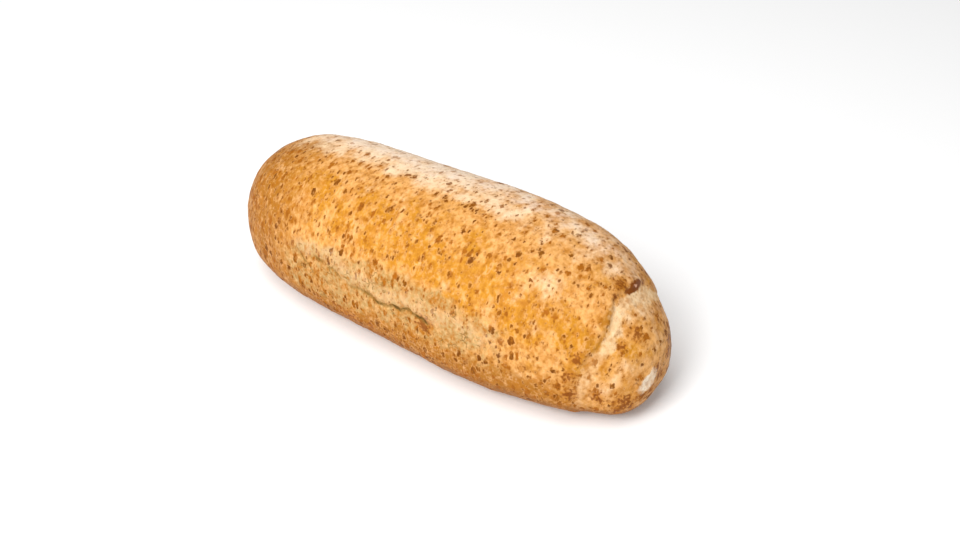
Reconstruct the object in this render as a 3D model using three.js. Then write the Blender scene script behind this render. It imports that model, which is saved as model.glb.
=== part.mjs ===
// An oval wholemeal bread roll, baked as one piece on a flat tray.
//
// Millimetres. The origin is the middle of the roll's footprint, on the surface that it rests on.
// +X runs along the roll to the end where the dough was rolled up and its last turn left a pleat.
// +Y is the smooth flank, -Y the flank that tore open in the oven, and +Z is up.

import * as THREE from 'three';
import { mergeVertices } from 'three/addons/utils/BufferGeometryUtils.js';

// Driving dimensions.
const LENGTH = 160;
const WIDTH = 62.8;
const HEIGHT = 52.4;
const SHOULDER = 0.44; // height of the widest line, as a share of a section's own height
const TAPER = 0.027; // how much the pleated end is wider than the middle, as a share
const BASE_SINK = 1.2; // dough that would hang below the tray, and is pressed flat by it

// How each end closes: half-width = (1 - s^shape)^(1 / bluntness), where s goes from 0 in the
// middle of the roll to 1 at its tip. tipHeight is how high the very tip stands.
const FAR_END = { shape: 2.95, bluntness: 2.7, tipHeight: 21.5 };
const PLEATED_END = { shape: 3.0, bluntness: 2.15, tipHeight: 17 };
const UNDERSIDE_RISE = 1.6; // how late the underside leaves the tray towards a tip

// Roundness of a section above and below its widest line. 2 is a true ellipse.
const CROWN_ROUNDNESS = 2.15;
const BELLY_ROUNDNESS = 3.0;

// Broad swells (+) and dents (-): place along the roll, angle round the section from +Y towards
// +Z in degrees, how far they stand out, and their reach along the roll and round it.
const SWELLS = [
  { x: -68, angle: 50, out: 1.2, along: 14, round: 36 },
  { x: -19, angle: 50, out: -1.8, along: 24, round: 36 },
  { x: 54, angle: 50, out: 0.7, along: 16, round: 36 },
  { x: 68, angle: 58, out: -1.8, along: 10, round: 30 },
  { x: 26, angle: 232, out: 1.0, along: 18, round: 36 },
  { x: 76, angle: 250, out: 3.6, along: 10, round: 50 },
  // The flank opened here in the oven: a shallow hollow along the tear.
  { x: -8, angle: 176, out: -0.7, along: 30, round: 11 },
];

// The pleat is a step down from the roll's body to the tucked-in end. It runs round the end in an
// upright plane, leans back towards the middle of the roll below its bend, and dies out underneath.
const PLEAT = { x: 68, bendHeight: 30, leanBelow: 0.2, depth: 1.3, width: 4, fade: 11, footHeight: 14 };

// Grid of the surface: cells along the roll, and cells on each side of the square section.
const CELLS_ALONG = 46;
const CELLS_ACROSS = 15;
const END_FACE_FROM = 0.93; // where the long faces meet the end faces, as s

const half = LENGTH / 2;

function endAt(s) {
  return s < 0 ? FAR_END : PLEATED_END;
}

// Half-width of the roll at s, as a share of its largest half-width.
function profile(s) {
  const end = endAt(s);
  return Math.pow(1 - Math.pow(Math.abs(s), end.shape), 1 / end.bluntness);
}

// The s at which an end's profile has narrowed to a share.
function placeOfProfile(share, side) {
  const end = endAt(side);
  return side * Math.pow(1 - Math.pow(share, end.bluntness), 1 / end.shape);
}

function signedPower(value, power) {
  return Math.sign(value) * Math.pow(Math.abs(value), power);
}

function bump(distance, reach) {
  return Math.exp(-Math.pow(distance / reach, 2));
}

function smoothStep(value) {
  const t = Math.min(1, Math.max(0, value));
  return t * t * (3 - 2 * t);
}

// Smallest turn between two angles, in degrees.
function turnBetween(a, b) {
  return ((a - b + 540) % 360) - 180;
}

// How far the surface stands out from the plain oval at a point, along the section's radius.
function relief(x, z, angle) {
  let out = 0;
  for (const swell of SWELLS) {
    out += swell.out * bump(x - swell.x, swell.along) * bump(turnBetween(angle, swell.angle), swell.round);
  }
  const pleatX = PLEAT.x + PLEAT.leanBelow * Math.min(0, z - PLEAT.bendHeight);
  const pastPleat = x - pleatX;
  const step = smoothStep(pastPleat / PLEAT.width + 0.5);
  const towardsTip = bump(Math.max(0, pastPleat), PLEAT.fade);
  const aboveFoot = smoothStep(z / PLEAT.footHeight);
  return out - PLEAT.depth * step * towardsTip * aboveFoot;
}

// The point of the roll's surface at s along it and at an angle (radians) round its section.
function surfacePoint(s, angle) {
  const narrowing = profile(s);
  const tip = endAt(s).tipHeight;
  const top = tip + (HEIGHT - tip) * narrowing;
  const bottom = tip * Math.pow(1 - narrowing, UNDERSIDE_RISE) - BASE_SINK * narrowing;
  const middle = bottom + SHOULDER * (top - bottom);
  const upper = Math.sin(angle) >= 0;
  const power = 2 / (upper ? CROWN_ROUNDNESS : BELLY_ROUNDNESS);
  const reachUp = upper ? top - middle : middle - bottom;
  const halfWidth = (WIDTH / 2) * narrowing * (1 + TAPER * s);

  const x = half * s;
  const y = halfWidth * signedPower(Math.cos(angle), power);
  const rise = reachUp * signedPower(Math.sin(angle), power);
  const radius = Math.hypot(y, rise);
  if (radius === 0) {
    return new THREE.Vector3(x, 0, middle);
  }
  const degrees = THREE.MathUtils.radToDeg(Math.atan2(rise, y));
  const nearAxis = Math.min(1, radius / 10);
  const scale = 1 + (relief(x, middle + rise, degrees) / radius) * nearAxis;
  return new THREE.Vector3(x, y * scale, Math.max(0, middle + rise * scale));
}

// Where a point of a 2 x 2 x 2 box goes. The long faces of the box wrap round the roll, and its
// two end faces close the tips, with rings that narrow evenly towards the middle of the face.
function boxToRoll(x, y, z) {
  const ring = Math.max(Math.abs(y), Math.abs(z));
  const angle = Math.atan2(z, y);
  const onEndFace = Math.abs(x) > 1 - 1e-6;
  const s = onEndFace
    ? placeOfProfile(ring * profile(Math.sign(x) * END_FACE_FROM), Math.sign(x))
    : x * END_FACE_FROM;
  return surfacePoint(s, angle);
}

function rollGeometry() {
  let geometry = new THREE.BoxGeometry(2, 2, 2, CELLS_ALONG, CELLS_ACROSS, CELLS_ACROSS);
  geometry.deleteAttribute('normal');
  geometry.deleteAttribute('uv');
  geometry = mergeVertices(geometry, 1e-5);
  const position = geometry.attributes.position;
  for (let i = 0; i < position.count; i += 1) {
    const point = boxToRoll(position.getX(i), position.getY(i), position.getZ(i));
    position.setXYZ(i, point.x, point.y, point.z);
  }
  // Stand the origin in the middle of the footprint.
  geometry.computeBoundingBox();
  const middle = geometry.boundingBox.getCenter(new THREE.Vector3());
  geometry.translate(-middle.x, -middle.y, 0);
  geometry.computeVertexNormals();
  return geometry;
}

const crust = new THREE.MeshStandardMaterial({
  name: 'crust',
  color: new THREE.Color().setRGB(0.87, 0.64, 0.36, THREE.SRGBColorSpace),
  roughness: 0.62,
  metalness: 0,
});

const roll = new THREE.Mesh(rollGeometry(), crust);
roll.name = 'bread_roll';

const object = new THREE.Group();
object.add(roll);

export default object;
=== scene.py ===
import math

import bmesh
import bpy
import numpy as np
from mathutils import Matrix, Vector, noise
from mathutils.bvhtree import BVHTree


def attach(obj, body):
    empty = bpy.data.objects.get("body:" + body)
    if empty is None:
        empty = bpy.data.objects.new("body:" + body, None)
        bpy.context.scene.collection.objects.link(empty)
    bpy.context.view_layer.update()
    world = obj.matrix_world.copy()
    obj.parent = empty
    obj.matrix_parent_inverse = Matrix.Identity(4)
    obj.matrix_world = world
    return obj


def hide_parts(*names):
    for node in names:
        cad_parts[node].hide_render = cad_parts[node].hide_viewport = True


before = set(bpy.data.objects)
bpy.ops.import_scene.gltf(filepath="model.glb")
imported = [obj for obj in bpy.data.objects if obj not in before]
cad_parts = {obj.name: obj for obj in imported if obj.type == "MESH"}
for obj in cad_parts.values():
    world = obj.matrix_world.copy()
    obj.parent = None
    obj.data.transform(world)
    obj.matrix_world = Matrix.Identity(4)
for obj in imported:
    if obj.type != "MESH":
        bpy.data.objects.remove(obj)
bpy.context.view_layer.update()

MM = 0.001


# The roll: one lump of wholemeal dough, moulded into an oval, proved and baked on a flat tray.
# Its body follows the solid roll of the frame: a cube is cut into a fine grid, its long faces are
# wrapped round the roll, and its end faces close the two tips.
CELLS_ACROSS = 84  # on every side of the cube
CUTS_ALONG = 2  # more in every lengthways edge, because the roll is longer than it is wide
TIPS_FROM = 62 * MM  # how far from the middle of the roll the end faces take over
HEART_HEIGHT = 23.5 * MM  # of the line inside the roll that the grid is sent out from
ROUNDING_PASSES = 10
CLOSE = 1e-6  # lengths on the cube that differ by less are the same

# The bake sheet, where the skin lies flat: the four long faces stand side by side, with the two
# tips below them.
STRIP_FILL = 0.97
STRIP_BOTTOM, STRIP_TOP = 0.33, 0.995
TIP_HALF = 0.158
TIP_MIDDLES = {-1: (0.165, 0.163), 1: (0.495, 0.163)}

solid_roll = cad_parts["bread_roll"]


def cube_grid():
    grid = bmesh.new()
    bmesh.ops.create_cube(grid, size=2.0)
    bmesh.ops.subdivide_edges(grid, edges=grid.edges[:], cuts=CELLS_ACROSS - 1, use_grid_fill=True)
    lengthways = [e for e in grid.edges if abs(e.verts[0].co.x - e.verts[1].co.x) > CLOSE]
    bmesh.ops.subdivide_edges(grid, edges=lengthways, cuts=CUTS_ALONG)
    return grid


def lay_out_bake_sheet(grid):
    """Gives each face of the cube its own place on the bake sheet."""
    sheet = grid.loops.layers.uv.new("OFBake")
    for face in grid.faces:
        middle = face.calc_center_median()
        on_tip = abs(middle.x) > 1 - CLOSE
        flat_axis = 1 if abs(middle.y) > 1 - CLOSE else 2
        strip = (2 if flat_axis == 2 else 0) + (1 if middle[flat_axis] > 0 else 0)
        for loop in face.loops:
            x, y, z = loop.vert.co
            if on_tip:
                u, v = TIP_MIDDLES[round(middle.x)]
                loop[sheet].uv = (u + y * TIP_HALF, v + z * TIP_HALF)
            else:
                across = z if flat_axis == 1 else y
                up = STRIP_BOTTOM + (STRIP_TOP - STRIP_BOTTOM) * (x + 1) / 2
                loop[sheet].uv = ((strip + 0.5 + across * STRIP_FILL / 2) / 4, up)


def wrap_round_roll(grid):
    """Sends each point of the cube's surface out from the heart of the roll to its skin."""
    cube = np.array([v.co for v in grid.verts])
    ring = np.abs(cube[:, 1:]).max(axis=1)
    safe_ring = np.maximum(ring, CLOSE)
    # Equal turns across each side of the square, so the cells come out even round the roll.
    even = np.tan(cube[:, 1:] / safe_ring[:, None] * math.pi / 4)
    round_angle = np.arctan2(even[:, 1], even[:, 0])
    on_tip = np.abs(cube[:, 0]) > 1 - CLOSE
    lean = np.where(on_tip, (1 - ring) * math.pi / 2, 0.0)
    outward = np.stack([
        np.sin(lean) * np.sign(cube[:, 0]),
        np.cos(lean) * np.cos(round_angle),
        np.cos(lean) * np.sin(round_angle),
    ], axis=1)
    skin = BVHTree.FromObject(solid_roll, bpy.context.evaluated_depsgraph_get())
    for vert, x, direction in zip(grid.verts, cube[:, 0] * TIPS_FROM, outward):
        start = Vector((x, 0, HEART_HEIGHT))
        hit = skin.ray_cast(start, Vector(direction))[0]
        if hit is None:
            hit = skin.find_nearest(start + Vector(direction) * HEART_HEIGHT)[0]
        vert.co = hit
    for _ in range(ROUNDING_PASSES):
        bmesh.ops.smooth_vert(
            grid, verts=grid.verts[:], factor=0.5, use_axis_x=True, use_axis_y=True, use_axis_z=True
        )


grid = cube_grid()
lay_out_bake_sheet(grid)
wrap_round_roll(grid)
roll_mesh = bpy.data.meshes.new("roll")
grid.to_mesh(roll_mesh)
grid.free()
roll_mesh.shade_smooth()
roll = bpy.data.objects.new("roll", roll_mesh)
bpy.context.scene.collection.objects.link(roll)


# The unevenness of the crust. Oven spring leaves broad swells and smaller lumps, and a fine crinkle
# that runs round the roll, because the skin of the dough was stretched lengthways.
MIDDLE_HEIGHT = 24  # of the line that the turn is measured round, in mm
SEED_SHIFT = (31.7, 17.3, 53.9)  # so that no two layers of lumps are alike

# How far each layer stands out in mm, the size of its lumps in mm, their squeeze and their seed.
SWELLS = [(0.25, 26, 1, 1), (0.24, 11, 1.3, 2), (0.16, 5.5, 1.5, 3)]
CRINKLES = [(0.09, 3.4, 1.9, 4), (0.05, 1.9, 1.6, 5)]


def point_values(source, field):
    flat = np.zeros(len(source) * 3, np.float32)
    source.foreach_get(field, flat)
    return flat.reshape(-1, 3).astype(float)


skin_points = point_values(roll_mesh.vertices, "co")
skin_normals = point_values(roll_mesh.vertex_normals, "vector")
along, sideways, height = (skin_points / MM).T
# Turn round the roll's middle line in degrees: 0 is the +Y flank, 90 the crown, 180 the -Y flank.
turn = np.degrees(np.arctan2(height - MIDDLE_HEIGHT, sideways)) % 360


def lumps(size, squeeze=1.0, seed=0):
    """Smooth unevenness over the skin, from -1 to 1. Squeezed lumps are shorter along the roll."""
    shift = Vector([step * seed for step in SEED_SHIFT])
    spread = Vector((squeeze, 1, 1)) / (size * MM)
    return np.array([noise.noise(Vector(p) * spread + shift) for p in skin_points])


def creases(size, squeeze=1.0, seed=0):
    """Sharp-backed folds that wander over the skin, from -1 to 1."""
    return 1 - 2 * np.abs(lumps(size, squeeze, seed))


rise = sum(out * lumps(size, squeeze, seed) for out, size, squeeze, seed in SWELLS)
rise += sum(out * creases(size, squeeze, seed) for out, size, squeeze, seed in CRINKLES)


# The pleat: where the last turn of the rolled-up dough ended. Its lip stands up, the dough steps
# down past it, and a strip of bare floury dough shows there. It runs right round the end.
# The paths go round the roll: (turn in degrees, value). Values are in mm or, for shares, up to 1.
PLEAT_LINE = [
    (0, 66), (25, 66.2), (47, 65.5), (78, 66.6), (92, 66), (104, 65), (112, 65), (122, 66.4),
    (135, 67.2), (156, 67.2), (165, 66), (172, 65), (184, 63.8), (193, 62.8), (207, 62.2), (225, 62.5),
    (270, 64), (315, 66),
]
PLEAT_WANDER = 0.5
PLEAT_DEPTH = [
    (0, 0.3), (40, 0.45), (60, 0.8), (80, 1.1), (170, 1.0), (195, 0.6), (235, 0.3), (300, 0.2),
]
LIP_HEIGHT = 0.35
LIP_BEHIND = 1.3
LIP_WIDTH = 1.2
STEP_DEPTH = 0.65
STEP_WIDTH = 1.2
STEP_FADE = 6.5
BARE_STRIP = [
    (0, 68.5), (40, 68.8), (78, 68.9), (108, 68.1), (122, 68.4), (139, 69.3), (150, 69.3), (162, 68.9),
    (171, 67.9), (184, 66.9), (193, 66), (207, 63.8), (225, 64), (315, 67),
]
BARE_WIDTH = [
    (0, 0.6), (30, 1.5), (60, 2.5), (100, 2.2), (125, 2.4), (160, 2.0), (172, 2.2), (190, 2.6),
    (207, 2.0), (230, 0.7), (330, 0.6),
]
BARE_SHARE = [
    (0, 0.35), (30, 0.9), (60, 1), (158, 1), (170, 0.5), (188, 0.4), (203, 0.25), (230, 0.15), (330, 0.15),
]


def bump(distance, reach):
    return np.exp(-(distance / reach) ** 2)


def ease(value):
    held = np.clip(value, 0, 1)
    return held * held * (3 - 2 * held)


def round_path(path, at, softness=4):
    """A closed path of (turn, value) points, rounded at its corners."""
    turns, values = zip(*path)
    fine = np.interp(np.arange(360), turns, values, period=360)
    reach = np.arange(-3 * softness, 3 * softness + 1)
    weights = bump(reach, softness)
    rounded = sum(w * np.roll(fine, s) for w, s in zip(weights, reach)) / weights.sum()
    return np.interp(at, np.arange(360), rounded, period=360)


pleat_past = along - round_path(PLEAT_LINE, turn) + PLEAT_WANDER * lumps(4.5, seed=6)
pleat_depth = round_path(PLEAT_DEPTH, turn)
lip = LIP_HEIGHT * bump(pleat_past + LIP_BEHIND, LIP_WIDTH)
step = STEP_DEPTH * ease(pleat_past / STEP_WIDTH + 0.5) * bump(np.maximum(pleat_past, 0), STEP_FADE)
rise += pleat_depth * (lip - step)
# 1 in the middle of the bare strip, 0 on its edge and less beyond it.
bare = 1 - np.abs(along - round_path(BARE_STRIP, turn)) / round_path(BARE_WIDTH, turn)
bare_share = round_path(BARE_SHARE, turn)


# The tear: the -Y flank burst open in the oven at about the middle of its height. The line is a
# thin broken fissure between two low ridges, in a broad field of stretched, wrinkled dough.
# The paths go along the roll: (place in mm, height in mm or share of the full opening).
TEAR_LINE = [
    (-60, 26), (-38, 27.3), (-35, 25), (-31.7, 29.4), (-28, 27.9), (-23.5, 27.9), (-20, 25.6),
    (-16.2, 23.8), (-11.6, 24.7), (-6.7, 24), (-4.6, 23.1), (0, 23.2), (2.3, 24.2), (4.8, 23.9),
    (8.3, 25.1), (13.5, 24.4), (15.5, 23.6), (26, 24.9), (35, 22.5), (60, 22),
]
TEAR_OPENING = [
    (-40, 0), (-37, 0.45), (-33, 0.1), (-29, 0.45), (-25, 0.1), (-21, 0.4), (-18, 0.1), (-15, 0.35),
    (-10, 0.35), (-6, 0.7), (0, 0.8), (6, 0.8), (11, 1), (14, 0.8), (16.5, 0.2), (19, 0),
]
TEAR_WANDER = [(0.7, 4, 9), (0.35, 1.8, 10)]  # mm up or down, size in mm, seed
FISSURE_DEPTH = 0.9
FISSURE_WIDTH, FISSURE_WIDER = 0.42, 0.2  # where it is shut, and how much more where it is open
FISSURE_USUAL, FISSURE_VARIES = 0.7, 0.5  # as shares of its depth
RIDGE_HEIGHT = 0.25
UPPER_RIDGE = {"above": 2.3, "width": 1.9}
LOWER_RIDGE = {"above": -1.7, "width": 1.3}

# The stretched field: its upper and lower edge, how softly each fades, and where its ends fade.
TORN_TOP = [(-60, 27), (-40, 31), (-28, 34), (-5, 36), (20, 36), (34, 33), (50, 28), (60, 25)]
TORN_FOOT = [(-60, 19), (-45, 13), (-20, 14), (15, 17.5), (35, 16), (60, 18)]
TOP_SOFTNESS, FOOT_SOFTNESS = 6, 5
TORN_FAR_END, TORN_NEAR_END = (-56, -38), (52, 28)
TORN_FLANK = (-12, -20)
TORN_CREASE = 0.12


def ramp(value, start, end):
    """0 at start and 1 at end, easing between; start may be above end."""
    return ease((value - start) / (end - start))


def along_path(path, at):
    places, values = zip(*path)
    return np.interp(at, places, values)


on_torn_flank = ramp(sideways, *TORN_FLANK)
tear_above = height - along_path(TEAR_LINE, along)
for out, size, seed in TEAR_WANDER:
    tear_above += out * lumps(size, seed=seed)
tear_open = along_path(TEAR_OPENING, along) * on_torn_flank
fissure = FISSURE_DEPTH * bump(tear_above, FISSURE_WIDTH + FISSURE_WIDER * tear_open)
fissure *= FISSURE_USUAL + FISSURE_VARIES * lumps(3, seed=11)
ridges = sum(
    RIDGE_HEIGHT * bump(tear_above - ridge["above"], ridge["width"]) for ridge in (UPPER_RIDGE, LOWER_RIDGE)
)
rise += tear_open * (ridges - fissure)

torn = ease((along_path(TORN_TOP, along) - height) / TOP_SOFTNESS + 0.5)
torn *= ease((height - along_path(TORN_FOOT, along)) / FOOT_SOFTNESS + 0.5)
torn *= on_torn_flank * ramp(along, *TORN_FAR_END) * ramp(along, *TORN_NEAR_END)
rise += TORN_CREASE * torn * creases(2.6, seed=7)


# The blister: a bubble of dough beside the pleat, which scorched and sank in its middle. The scar:
# where the dough was pinched off at the tip, a shallow dish with a low edge, bare of bran.
# The scorches: spots of crust that browned before the rest. Places and radii are in mm.
BLISTER = {"place": (66.1, 3.4, 39.7), "radius": (1.4, 5.2, 2.0), "height": 0.5}
BLISTER_DENT = {"share": 0.5, "reach": 0.4}
SCAR = {"place": (79.2, -6.8, 16.6), "radius": (4.5, 2.6, 4.5), "height": 0.3, "tilt": 40}
SCAR_EDGE = {"at": 0.9, "reach": 0.35}
SCAR_DISH = {"share": 0.8, "reach": 0.8}
# (place, radius, strength)
SCORCHES = [
    ((63.6, -1.3, 42.0), 2.2, 0.9), ((65, -5.5, 41), 1.4, 0.7), ((73.7, -6.8, 32), 1.9, 0.9),
    ((72, -12.2, 30), 1.4, 0.8), ((63.2, -22.3, 27.3), 2.0, 0.7), ((62, -23.6, 21.5), 2.0, 0.7),
    ((62.5, -23.5, 14.4), 2.2, 0.9), ((69, -19, 13.5), 1.9, 0.8), ((75.4, -14, 11.4), 2.6, 0.9),
    ((14.3, -31, 23.3), 2.6, 1.0), ((-16, -30, 11.5), 2.2, 0.8), ((-8, -30, 10.5), 1.8, 0.7),
    ((79.6, -3.2, 20), 1.6, 0.8), ((78, 6, 24), 2.0, 0.7), ((80, -1.2, 16), 1.6, 0.9),
    ((79.3, -5, 12), 1.6, 0.8), ((74, -14.2, 7.5), 1.7, 0.8), ((76.8, -11.8, 9.5), 1.5, 0.8),
    ((66, 9.5, 38), 1.2, 0.7), ((79.2, 4, 21), 1.8, 0.9),
]


def distance_from(place):
    return np.linalg.norm(skin_points / MM - np.array(place), axis=1)


def patch_distance(patch):
    """0 in the middle of an oval patch of the skin and 1 on its edge."""
    away = skin_points / MM - np.array(patch["place"])
    tilt = math.radians(patch.get("tilt", 0))
    y = away[:, 1] * math.cos(tilt) - away[:, 2] * math.sin(tilt)
    z = away[:, 1] * math.sin(tilt) + away[:, 2] * math.cos(tilt)
    return np.sqrt(sum((a / r) ** 2 for a, r in zip((away[:, 0], y, z), patch["radius"])))


blister = patch_distance(BLISTER)
scar = patch_distance(SCAR)
dent = BLISTER_DENT["share"] * bump(blister, BLISTER_DENT["reach"])
rise += BLISTER["height"] * (bump(blister, 1.0) - dent)
dish = SCAR_DISH["share"] * bump(scar, SCAR_DISH["reach"])
rise += SCAR["height"] * (bump(scar - SCAR_EDGE["at"], SCAR_EDGE["reach"]) - dish)
scorch = np.zeros(len(skin_points))
for spot, radius, strength in SCORCHES:
    scorch = np.maximum(scorch, strength * np.clip(1 - distance_from(spot) / (2 * radius), 0, 1))


# The base: the dough that lay on the tray was pressed flat, so the unevenness dies out underneath
# and only shallow dents are left.
BASE_EDGE = (3.5, 0)  # the height at which the base starts, and at which it is fully pressed
BASE_DENTS = 0.12

base = ramp(height, *BASE_EDGE)
rise = rise * (1 - base) - BASE_DENTS * base * (1 + lumps(3, seed=8))
raised = skin_points + skin_normals * (rise * MM)[:, None]
raised[:, 2] = np.maximum(raised[:, 2], 0)
roll_mesh.vertices.foreach_set("co", raised.astype(np.float32).ravel())
roll_mesh.update()


# The colour that the oven gave each part of the crust, with painted light and shade over it: a pale
# crown that is partly a painted highlight, amber shoulders, and a foot and far end that are partly
# toasted and partly painted shade. Each zone is a strength from 0 to 1 over the skin. An edge is a pair,
# where a zone starts and where it is full, and a path is (place along the roll, strength), in mm.


def tip_zone(zone):
    return zone["share"] * ramp(along, *zone["along"]) * ramp(height, *zone["height"])


def weaker(share, value, start, end):
    """1 before the start and less by a share past the end."""
    return 1 - share * ramp(value, start, end)


# The pale crown, partly pale crust and partly a painted highlight, with a pale spot before the pleat
# and a paler tip.
CROWN_FRONT, CROWN_BACK = (108, 93), (20, 65)
PALE_CROWN = [(-80, 0), (-66, 0.4), (-52, 1), (-5, 1), (14, 0.8), (30, 0.5), (60, 0.4), (80, 0.2)]
PALE_SPOT = {"place": (49, -18, 42.5), "reach": 7, "share": 0.5}
PALE_TIP = {"share": 0.16, "along": (67, 75), "height": (8, 18)}
pale_crown_and_highlight = ramp(turn, *CROWN_FRONT) * ramp(turn, *CROWN_BACK) * along_path(PALE_CROWN, along)
pale_crown_and_highlight += PALE_SPOT["share"] * bump(distance_from(PALE_SPOT["place"]), PALE_SPOT["reach"])
pale_crown_and_highlight += tip_zone(PALE_TIP)

# A painted highlight along the very top of the crown, towards its back.
HIGHLIGHT_FRONT, HIGHLIGHT_BACK = (98, 72), (35, 65)
HIGHLIGHT_ALONG = [(-80, 0), (-66, 0.4), (-52, 1), (0, 1), (30, 0.75), (62, 0.6), (78, 0.2)]
top_highlight = ramp(turn, *HIGHLIGHT_FRONT) * ramp(turn, *HIGHLIGHT_BACK) * along_path(HIGHLIGHT_ALONG, along)

# The amber shoulders: a band that turns a little on its way along the torn side, and one on the back.
SHOULDER_TURN, SHOULDER_TWIST, SHOULDER_WIDTH = 139, 0.28, 18
BACK_SHOULDER = {"height": 36, "reach": 9, "share": 0.6, "sideways": (5, 17)}
AMBER_SHARE = [(-60, 0.2), (-30, 0.6), (-10, 0.9), (20, 1), (60, 1), (75, 0.6)]
AMBER_TIP = {"share": 0.12, "along": (68, 74), "height": (6, 14)}
amber = bump(turn - (SHOULDER_TURN + SHOULDER_TWIST * along), SHOULDER_WIDTH)
back_band = bump(height - BACK_SHOULDER["height"], BACK_SHOULDER["reach"])
amber += BACK_SHOULDER["share"] * back_band * ramp(sideways, *BACK_SHOULDER["sideways"])
amber = amber * along_path(AMBER_SHARE, along) + tip_zone(AMBER_TIP)

# The darker foot, which is weaker towards both ends, and the darker far end, weaker on its top:
# partly toasted crust and partly painted shade.
FOOT_EDGE = (24, 13)
FAR_END_EDGE, FAR_END_BACK = (-24, -64), (15, -7)
foot = ramp(height, *FOOT_EDGE) * weaker(0.6, along, 50, 70) * weaker(0.3, along, -20, -50)
far_end = ramp(along, *FAR_END_EDGE) * ramp(sideways, *FAR_END_BACK) * weaker(0.3, height, 40, 48)
toasted_and_shaded = np.maximum(foot, far_end)

# The brown rim, partly browned crust and partly painted shade: darker where the crust turns under,
# and on the side of the tip that is turned away from the side softbox.
UNDERCUT = (0.15, 0.55)  # how nearly the skin faces down
TIP_FACING = (0.8, 0.6)  # the way that the browned side of the tip faces, along and sideways
TIP_TURNED = (0.86, 0.98)  # how nearly the skin faces that way
TIP_RIM_AND_SHADE = {"share": 1.0, "along": (66, 74), "height": (36, 28)}
rim_and_shade = ramp(-skin_normals[:, 2], *UNDERCUT)
tip_facing = skin_normals[:, 0] * TIP_FACING[0] + skin_normals[:, 1] * TIP_FACING[1]
rim_and_shade += tip_zone(TIP_RIM_AND_SHADE) * ramp(tip_facing, *TIP_TURNED)

skin_values = {
    "pleat_past": pleat_past, "pleat_depth": pleat_depth, "bare": bare, "bare_share": bare_share,
    "tear_above": tear_above, "tear_open": tear_open, "torn": torn, "scar": scar, "scorch": scorch,
    "pale_crown_and_highlight": pale_crown_and_highlight, "top_highlight": top_highlight, "amber": amber, "toasted_and_shaded": toasted_and_shaded, "rim_and_shade": rim_and_shade,
}
for name, values in skin_values.items():
    attribute = roll_mesh.attributes.new(name, "FLOAT", "POINT")
    attribute.data.foreach_set("value", values.astype(np.float32))


# The crust: baked wholemeal dough, golden where sugar browned in it and paler where it stretched.
# It is one material, built up like the real crust: ground colour, mottling, bran, then the marks.
class Tone:
    """A value on its way through a material, so that shader maths reads as plain sums."""

    def __init__(self, recipe, socket):
        self.recipe = recipe
        self.socket = socket

    def maths(self, operation, *values):
        return self.recipe.node("ShaderNodeMath", {"operation": operation}, dict(enumerate(values)))

    def __add__(self, other):
        return self.maths("ADD", self, other)

    def __sub__(self, other):
        return self.maths("SUBTRACT", self, other)

    def __rsub__(self, other):
        return self.maths("SUBTRACT", other, self)

    def __mul__(self, other):
        return self.maths("MULTIPLY", self, other)

    def __truediv__(self, other):
        return self.maths("DIVIDE", self, other)

    def __abs__(self):
        return self.maths("ABSOLUTE", self)

    __radd__ = __add__
    __rmul__ = __mul__


class Recipe:
    """One material, whose nodes are all added by a single method."""

    COLOUR_A, COLOUR_B, COLOUR_OUT = 6, 7, 2  # the sockets of a Mix node that mixes colours

    def __init__(self, name):
        self.material = bpy.data.materials.new(name)
        self.material.use_nodes = True
        self.tree = self.material.node_tree
        self.surface = self.tree.nodes["Principled BSDF"]

    def node(self, kind, settings=None, sockets=None, output=0):
        made = self.tree.nodes.new(kind)
        for setting, value in (settings or {}).items():
            setattr(made, setting, value)
        for socket, value in (sockets or {}).items():
            self.feed(made.inputs[socket], value)
        return Tone(self, made.outputs[output])

    def feed(self, socket, value):
        if isinstance(value, Tone):
            self.tree.links.new(value.socket, socket)
        else:
            socket.default_value = value

    def fade(self, value, start, end):
        """0 at start and 1 at end, easing between; start may be above end."""
        return self.node(
            "ShaderNodeMapRange", {"interpolation_type": "SMOOTHSTEP"},
            {"Value": value, "From Min": start, "From Max": end},
        )

    def blend(self, first, second, share):
        """A colour that turns from the first to the second as the share goes from 0 to 1."""
        sockets = {"Factor": share, self.COLOUR_A: first, self.COLOUR_B: second}
        return self.node("ShaderNodeMix", {"data_type": "RGBA"}, sockets, output=self.COLOUR_OUT)


crust = Recipe("crust")
place = crust.node("ShaderNodeTexCoord", output="Object")
PATTERN_SHIFT = (3.1, 7.7, 1.9)  # so that no two patterns of the crust are alike


def skin_value(name):
    return crust.node("ShaderNodeAttribute", {"attribute_name": name}, output="Fac")


def spread(size, squeeze, seed, start=place):
    """Coordinates in which one step is a size in mm, or less along the roll when squeezed."""
    scale = 1 / (size * MM)
    return crust.node("ShaderNodeMapping", sockets={
        "Vector": start, "Location": tuple(seed * step for step in PATTERN_SHIFT),
        "Scale": (scale * squeeze, scale, scale),
    })


def patches(size, squeeze=1.0, seed=0, detail=2.0, output="Fac"):
    """Cloudy patches of about a size in mm, from 0 to 1."""
    sockets = {"Vector": spread(size, squeeze, seed), "Scale": 1.0, "Detail": detail}
    return crust.node("ShaderNodeTexNoise", sockets=sockets, output=output)


def frayed(value, reach, size, **kind):
    """The same value with its edges frayed: patches of a size in mm move it by half a reach."""
    return value + (patches(size, **kind) - 0.5) * reach


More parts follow.
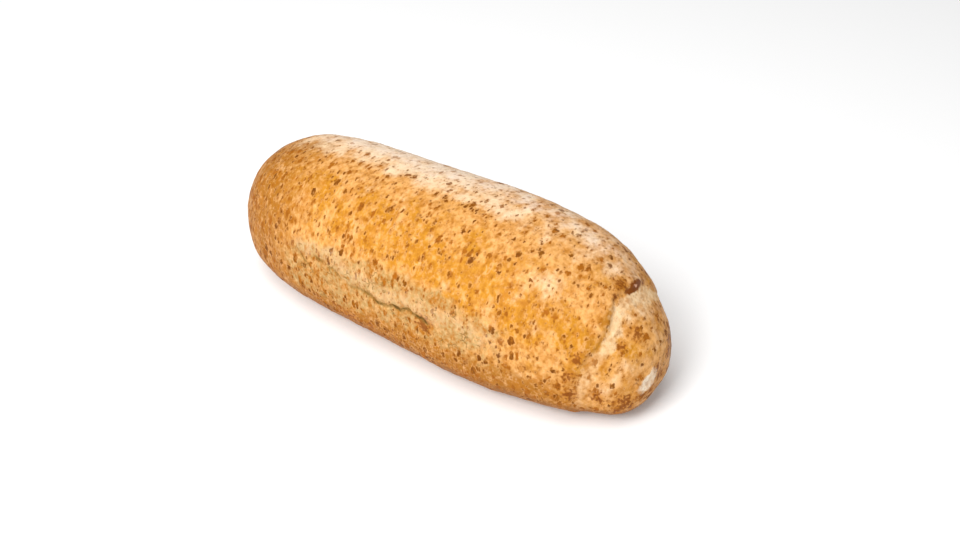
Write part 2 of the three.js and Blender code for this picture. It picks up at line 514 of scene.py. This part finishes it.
# Ground colour, from the broadest change to the finest: golden dough, amber shoulders, the pale crown
# with its painted highlight and the painted highlight along its top, the far end and foot, partly
# toasted and partly painted shade, the beige of the stretched flank and the browned base.
PEACH = (0.77, 0.390, 0.124, 1)
AMBER = (0.58, 0.246, 0.021, 1)
CREAM_AND_HIGHLIGHT = (0.90, 0.640, 0.400, 1)
PAINTED_HIGHLIGHT = (0.99, 0.84, 0.70, 1)
TOAST = (0.37, 0.146, 0.015, 1)
BEIGE = (0.46, 0.300, 0.118, 1)
TRAY_BROWN = (0.26, 0.095, 0.014, 1)
AMBER_PULL = 0.34
HIGHLIGHT_COVER, TORN_COVER, TRAY_COVER = 0.65, 0.92, 0.8
TRAY_EDGE, TRAY_FRAY = (4.2, 2.2), 3  # mm up, and how much the edge wanders

cloud = patches(8, squeeze=1.2, seed=2, detail=4.0)
amber_share = crust.fade(cloud + skin_value("amber") * AMBER_PULL, start=0.5, end=0.78)
colour = crust.blend(PEACH, AMBER, amber_share)
# The pale crown: partly pale crust and partly a painted highlight.
pale_crown_and_highlight_edge = frayed(skin_value("pale_crown_and_highlight"), reach=2.6, size=9, squeeze=1.6, seed=4, detail=4.0)
pale_crown_and_highlight_share = crust.fade(pale_crown_and_highlight_edge, start=0.15, end=1.2)
colour = crust.blend(colour, CREAM_AND_HIGHLIGHT, pale_crown_and_highlight_share)
# A painted highlight along the very top of the crown.
top_highlight_edge = frayed(skin_value("top_highlight"), reach=1.6, size=7, squeeze=1.6, seed=32, detail=3.0)
top_highlight_share = crust.fade(top_highlight_edge, start=0.25, end=1.15)
colour = crust.blend(colour, PAINTED_HIGHLIGHT, top_highlight_share * HIGHLIGHT_COVER)
# The darker foot and far end: partly toasted crust and partly painted shade.
toast_and_shade_share = crust.fade(frayed(skin_value("toasted_and_shaded"), reach=0.9, size=9, seed=5), start=0.1, end=0.95)
colour = crust.blend(colour, TOAST, toast_and_shade_share)
torn_edge = frayed(skin_value("torn"), reach=2.0, size=5, seed=6, detail=4.0)
torn_share = crust.fade(torn_edge, start=0.3, end=1.0)
colour = crust.blend(colour, BEIGE, torn_share * TORN_COVER)
height_mm = crust.node("ShaderNodeSeparateXYZ", sockets={0: place}, output="Z") * (1 / MM)
tray_share = crust.fade(height_mm + patches(4, seed=7) * TRAY_FRAY, *TRAY_EDGE)
colour = crust.blend(colour, TRAY_BROWN, tray_share * TRAY_COVER)

# The pleat's toasted lip, the bare strip past it, and the bare scar.
PALE = (0.92, 0.700, 0.430, 1)
BARE_DOUGH = (1.0, 0.87, 0.67, 1)
LIP_COVER, STRIP_COVER = 0.7, 0.62
TOASTED_LIP = 1.6  # mm behind the pleat

strip_edge = frayed(skin_value("bare"), reach=2.6, size=2.8, seed=8, detail=3.0)
strip_share = crust.fade(strip_edge, start=-0.1, end=0.6) * skin_value("bare_share")
lip_away = abs(frayed(skin_value("pleat_past"), reach=2.4, size=2.2, seed=9) + TOASTED_LIP)
lip_share = crust.fade(lip_away, start=2.2, end=0.6) * skin_value("pleat_depth")
lip_share *= crust.fade(patches(3, seed=10), start=0.4, end=0.6)
colour = crust.blend(colour, TOAST, lip_share * LIP_COVER)
colour = crust.blend(colour, PALE, strip_share * STRIP_COVER)
scar_edge = frayed(skin_value("scar"), reach=1.0, size=2.0, seed=11, detail=3.0)
scar_share = crust.fade(scar_edge, start=1.15, end=0.75)
colour = crust.blend(colour, BARE_DOUGH, scar_share)

# Fine mottling: streaks that run round the roll, dark beside pale, over broader browning, then
# crumb-sized specks, and a few pale wrinkles. The pale streaks, specks and wrinkles are painted
# glints. It is calm on the crown and on bare dough, and rough where the crust tore and on the darker
# foot and far end.
RUST = (0.50, 0.180, 0.018, 1)
STAIN = (0.40, 0.142, 0.010, 1)
BLUSH = (0.83, 0.470, 0.195, 1)
BROWNING_COVER = 0.62
STREAK_COVER, STREAK_GLINT = 0.55, 0.45
CRUMB_COVER, CRUMB_GLINT = 0.42, 0.28
VEIN_GLINT = 0.55

# The colour of the painted glints: blush, paler on the crown and the bare strip.
glint = crust.blend(BLUSH, PALE, pale_crown_and_highlight_share + strip_share)
calm = (1 - pale_crown_and_highlight_share * 0.65) * (1 - strip_share * 0.5) * (1 - top_highlight_share * 0.5)
rough = 1 + torn_share * 0.5 + toast_and_shade_share * 0.35
browning = patches(4.0, squeeze=1.4, seed=12, detail=3.0)
browned = crust.fade(browning, start=0.47, end=0.7) * calm
colour = crust.blend(colour, RUST, browned * BROWNING_COVER)
streak = patches(1.9, squeeze=1.15, seed=13, detail=3.0)
dark_streak = crust.fade(streak, start=0.5, end=0.68) * calm * rough
colour = crust.blend(colour, STAIN, dark_streak * STREAK_COVER)
glint_streak = crust.fade(streak, start=0.48, end=0.32)
colour = crust.blend(colour, glint, glint_streak * STREAK_GLINT)
crumb = patches(1.0, squeeze=1.2, seed=14, detail=3.0)
dark_crumb = crust.fade(crumb, start=0.54, end=0.75) * calm * rough
colour = crust.blend(colour, STAIN, dark_crumb * CRUMB_COVER)
glint_crumb = crust.fade(crumb, start=0.46, end=0.25) * rough
colour = crust.blend(colour, glint, glint_crumb * CRUMB_GLINT)
glint_vein = crust.fade(abs(patches(4.0, squeeze=2.0, seed=15) - 0.5), start=0.08, end=0.0)
glint_vein *= crust.fade(patches(5, seed=16), start=0.54, end=0.68)
colour = crust.blend(colour, glint, glint_vein * VEIN_GLINT)

# The brown rim, partly painted shade where the crust turns under and round the tip.
RIM_COVER = 0.9
rim_and_shade_edge = frayed(skin_value("rim_and_shade"), reach=1.2, size=3.0, seed=27, detail=3.0)
rim_and_shade_share = crust.fade(rim_and_shade_edge, start=0.2, end=0.9)
colour = crust.blend(colour, TRAY_BROWN, rim_and_shade_share * RIM_COVER)

# Bran: flakes of the husk that lie in the crust, scorched brown and ragged, each in a faint stain.
# They come in four sizes, crowd together in some places and are missing in others. Some have a
# painted highlight on a pale ring just outside them.
BRAN = (0.155, 0.045, 0.004, 1)
BRAN_LIGHT = (0.35, 0.105, 0.007, 1)
# (cell that holds one flake and largest radius, both in mm; squeeze; cover; seed)
FLAKE_SIZES = [
    (5.0, 1.3, 2.0, 1.0, 21),
    (3.8, 1.0, 1.3, 1.0, 22),
    (2.6, 0.7, 1.9, 0.95, 23),
    (1.7, 0.42, 1.3, 0.55, 24),
]
SIZE_RANGE, SIZE_LEAST = 1.45, -0.52  # as shares of the largest radius; below 0 there is no flake
CROWDING = 0.5
TOASTED_GROWTH = 0.35
HALO_COVER = 0.4
EDGE_GLINT = 0.3


def ragged_place(size, reach, seed):
    """The place on the skin, pushed about by up to a reach in mm."""
    return crust.node("ShaderNodeVectorMath", {"operation": "MULTIPLY_ADD"}, {
        0: patches(size, 1, seed, 1.0, "Color"), 1: (2 * reach * MM,) * 3, 2: place,
    })


def bran_flakes(cell, radius, squeeze, seed):
    """How far each spot is inside its cell's flake in mm, and a number from 0 to 1 for each flake."""
    where = spread(cell, squeeze, seed, ragged_place(radius * 1.5, radius * 0.5, seed))
    sockets = {"Vector": where, "Scale": 1.0}
    distance = crust.node("ShaderNodeTexVoronoi", sockets=sockets, output="Distance") * cell
    tint = crust.node("ShaderNodeTexVoronoi", sockets=sockets, output="Color")
    size, shade = (
        crust.node("ShaderNodeSeparateColor", sockets={0: tint}, output=part) for part in ("Green", "Blue")
    )
    crowd = crust.fade(patches(9, seed=seed + 20), start=0.25, end=0.7)
    share = size * SIZE_RANGE + SIZE_LEAST + crowd * CROWDING + toast_and_shade_share * TOASTED_GROWTH
    inside = share * radius - distance
    outline = {"squeeze": squeeze, "seed": seed + 40, "detail": 3.0}
    return frayed(inside, reach=radius * 2.2, size=radius * 0.9, **outline), shade


bran_allowed = (1 - scar_share) * (1 - strip_share * 0.7) * (1 - pale_crown_and_highlight_share * 0.2) * (1 - top_highlight_share * 0.4)
bran_share = 0
for cell, radius, squeeze, cover, seed in FLAKE_SIZES:
    inside, shade = bran_flakes(cell, radius, squeeze, seed)
    halo = crust.fade(inside, start=-1.0, end=0.1) * calm
    colour = crust.blend(colour, STAIN, halo * HALO_COVER)
    # A painted highlight on a pale ring just outside some of the flakes.
    flake_rim_highlight = crust.fade(abs(inside + radius * 0.3), start=radius * 0.3, end=radius * 0.1)
    flake_rim_highlight *= crust.fade(shade, start=0.5, end=0.65)
    colour = crust.blend(colour, glint, flake_rim_highlight * EDGE_GLINT)
    flake = crust.fade(inside, start=-0.22, end=0.34) * bran_allowed
    shade = frayed(shade, reach=1.2, size=0.8, squeeze=1.5, seed=seed + 60)
    darkness = crust.fade(shade, start=0.1, end=0.85)
    colour = crust.blend(colour, crust.blend(BRAN_LIGHT, BRAN, darkness), flake * cover)
    bran_share = flake + bran_share

# Scorches, each in a rusty blush, the scar once more over them, and the dark blister with its pink
# middle.
SCORCHED = (0.22, 0.058, 0.006, 1)
PINK = (0.85, 0.45, 0.28, 1)
SCORCH_BLUSH, SCORCH_COVER, SCAR_COVER, PINK_COVER = 0.5, 0.88, 0.25, 0.85


def oval_distance(patch):
    """0 in the middle of an oval patch of the skin and 1 on its edge, finer than the mesh."""
    middle = tuple(distance * MM for distance in patch["place"])
    radius = tuple(distance * MM for distance in patch["radius"])
    away = crust.node("ShaderNodeVectorMath", {"operation": "SUBTRACT"}, {0: place, 1: middle})
    shares = crust.node("ShaderNodeVectorMath", {"operation": "DIVIDE"}, {0: away, 1: radius})
    return crust.node("ShaderNodeVectorMath", {"operation": "LENGTH"}, {0: shares}, "Value")


scorch_blush = crust.fade(frayed(skin_value("scorch"), reach=0.8, size=2.4, seed=28), start=0.1, end=0.6)
colour = crust.blend(colour, RUST, scorch_blush * SCORCH_BLUSH)
scorch_edge = frayed(skin_value("scorch"), reach=2.4, size=1.1, seed=16, detail=3.0)
scorch_share = crust.fade(scorch_edge, start=0.35, end=0.8)
colour = crust.blend(colour, SCORCHED, scorch_share * SCORCH_COVER)
colour = crust.blend(colour, BARE_DOUGH, scar_share * SCAR_COVER)
blister_edge = frayed(oval_distance(BLISTER), reach=1.1, size=1.5, seed=17, detail=3.0)
colour = crust.blend(colour, SCORCHED, crust.fade(blister_edge, start=1.15, end=0.75))
colour = crust.blend(colour, PINK, crust.fade(blister_edge, start=0.38, end=0.22) * PINK_COVER)

# The tear: a pale ridge above the fissure, a painted olive shade about it, its dark broken core,
# which is painted shade too, and a net of olive wrinkles over the stretched dough.
OLIVE = (0.27, 0.140, 0.028, 1)
CREVICE_SHADE = (0.10, 0.055, 0.012, 1)
RIDGE_COVER, OLIVE_COVER, CREVICE_COVER, WRINKLE_COVER = 0.25, 0.7, 0.85, 0.75
PALE_RIDGE = 3.6  # mm above the fissure
WRINKLE_CELL = 3.4


def wandering_lines(size, squeeze, reach, seed):
    """The distance in mm to the nearest line of a net that wanders by a reach."""
    where = spread(size, squeeze, seed, ragged_place(size * 0.6, reach, seed))
    sockets = {"Vector": where, "Scale": 1.0}
    return crust.node("ShaderNodeTexVoronoi", {"feature": "DISTANCE_TO_EDGE"}, sockets) * size


ridge_share = crust.fade(abs(skin_value("tear_above") - PALE_RIDGE), start=4.4, end=0.8) * torn_share
ridge_share *= crust.fade(crumb + browning, start=0.75, end=1.15)
colour = crust.blend(colour, PALE, ridge_share * RIDGE_COVER)
gap = abs(frayed(skin_value("tear_above"), reach=0.8, size=1.2, seed=18))
opening = skin_value("tear_open")
shadow = crust.fade(gap, start=1.0, end=0.2) * crust.fade(opening, start=0.05, end=0.5)
colour = crust.blend(colour, OLIVE, shadow * OLIVE_COVER)
crevice_shade = crust.fade(gap / (opening * 0.5 + 0.05), start=1.2, end=0.5)
crevice_shade *= crust.fade(opening, start=0.1, end=0.7) * crust.fade(patches(2.4, seed=26), start=0.35, end=0.55)
colour = crust.blend(colour, CREVICE_SHADE, crevice_shade * CREVICE_COVER)
wrinkle = crust.fade(wandering_lines(WRINKLE_CELL, squeeze=0.8, reach=1.4, seed=19), start=0.2, end=0.04)
wrinkle *= crust.fade(patches(4.5, seed=20), start=0.52, end=0.62) * torn_share
colour = crust.blend(colour, OLIVE, wrinkle * WRINKLE_COVER)

# The finish: matt, and drier on torn dough, bare dough and bran. The finest grain, too small for
# the mesh, stands out or sinks in by these heights in mm.
GLOSS, ROUGHNESS = 0.06, 0.45
TORN_DRY, STRIP_DRY, BRAN_DRY = 0.25, 0.2, 0.12
CRUMB_HEIGHT, GRAIN_HEIGHT, STREAK_DEPTH, BRAN_HEIGHT, WRINKLE_DEPTH = 0.14, 0.2, 0.12, 0.06, 0.15

dryness = torn_share * TORN_DRY + strip_share * STRIP_DRY + bran_share * BRAN_DRY
grain = crumb * CRUMB_HEIGHT + patches(2.4, squeeze=1.7, seed=31) * GRAIN_HEIGHT
relief = grain - streak * STREAK_DEPTH + bran_share * BRAN_HEIGHT - wrinkle * WRINKLE_DEPTH
crust.feed(crust.surface.inputs["Base Color"], colour)
crust.feed(crust.surface.inputs["Specular IOR Level"], GLOSS)
crust.feed(crust.surface.inputs["Roughness"], ROUGHNESS + dryness)
crust.feed(crust.surface.inputs["Normal"], crust.node(
    "ShaderNodeBump", sockets={"Height": relief, "Distance": 1 * MM, "Strength": 1.0}
))
roll_mesh.materials.append(crust.material)

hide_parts("bread_roll")
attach(roll, "root")


# The studio: a sheet of white paper on a light table, in a white tent. One softbox stands beside
# the torn flank and lays a soft shadow on the other side, and a larger one hangs overhead.
FLOOR_REACH = 3.0
TABLE_GLOW = 0.1
TENT_LIGHT = 0.37
WHITE = (1, 1, 1, 1)
PAPER_WHITE = (0.88, 0.88, 0.88, 1)
# (name, place and size in m, watts)
SOFTBOXES = [
    ("side_softbox", (0.02, -0.8, 0.74), 0.45, 9.1),
    ("top_softbox", (0.04, -0.3, 1.0), 0.6, 5.0),
]

floor_mesh = bpy.data.meshes.new("floor")
sheet = bmesh.new()
bmesh.ops.create_grid(sheet, x_segments=1, y_segments=1, size=FLOOR_REACH)
sheet.to_mesh(floor_mesh)
sheet.free()
floor = bpy.data.objects.new("floor", floor_mesh)
bpy.context.scene.collection.objects.link(floor)

paper = Recipe("white_paper")
paper.feed(paper.surface.inputs["Base Color"], PAPER_WHITE)
paper.feed(paper.surface.inputs["Specular IOR Level"], 0.0)
paper.feed(paper.surface.inputs["Emission Color"], WHITE)
paper.feed(paper.surface.inputs["Emission Strength"], TABLE_GLOW)
floor_mesh.materials.append(paper.material)

tent = bpy.data.worlds.new("tent")
tent.use_nodes = True
tent.node_tree.nodes["Background"].inputs["Color"].default_value = WHITE
tent.node_tree.nodes["Background"].inputs["Strength"].default_value = TENT_LIGHT
bpy.context.scene.world = tent
bpy.context.scene.view_settings.view_transform = "Standard"


def turn_towards(target, place):
    return (Vector(target) - Vector(place)).to_track_quat("-Z", "Y").to_euler()


for name, lamp_place, size, watts in SOFTBOXES:
    lamp = bpy.data.lights.new(name, "AREA")
    lamp.shape = "SQUARE"
    lamp.size = size
    lamp.energy = watts
    holder = bpy.data.objects.new(name, lamp)
    bpy.context.scene.collection.objects.link(holder)
    holder.location = lamp_place
    holder.rotation_euler = turn_towards((0, 0, 0), lamp_place)


# The camera: it looks down on the torn flank and the pleated end from 0.4 m away, and the roll lies
# a little left of the middle of its view.
CAMERA_PLACE = (196.0 * MM, -262.6 * MM, 253.4 * MM)
CAMERA_AIM = (0, 0, 24 * MM)
FOCAL_LENGTH = 45.9
NEAREST = 0.01
SHIFT_RIGHT, SHIFT_UP = 0.034, -0.012

lens = bpy.data.cameras.new("camera")
lens.lens = FOCAL_LENGTH
lens.clip_start = NEAREST
lens.shift_x = SHIFT_RIGHT
lens.shift_y = SHIFT_UP
camera = bpy.data.objects.new("camera", lens)
bpy.context.scene.collection.objects.link(camera)
camera.location = CAMERA_PLACE
camera.rotation_euler = turn_towards(CAMERA_AIM, CAMERA_PLACE)
bpy.context.scene.camera = camera
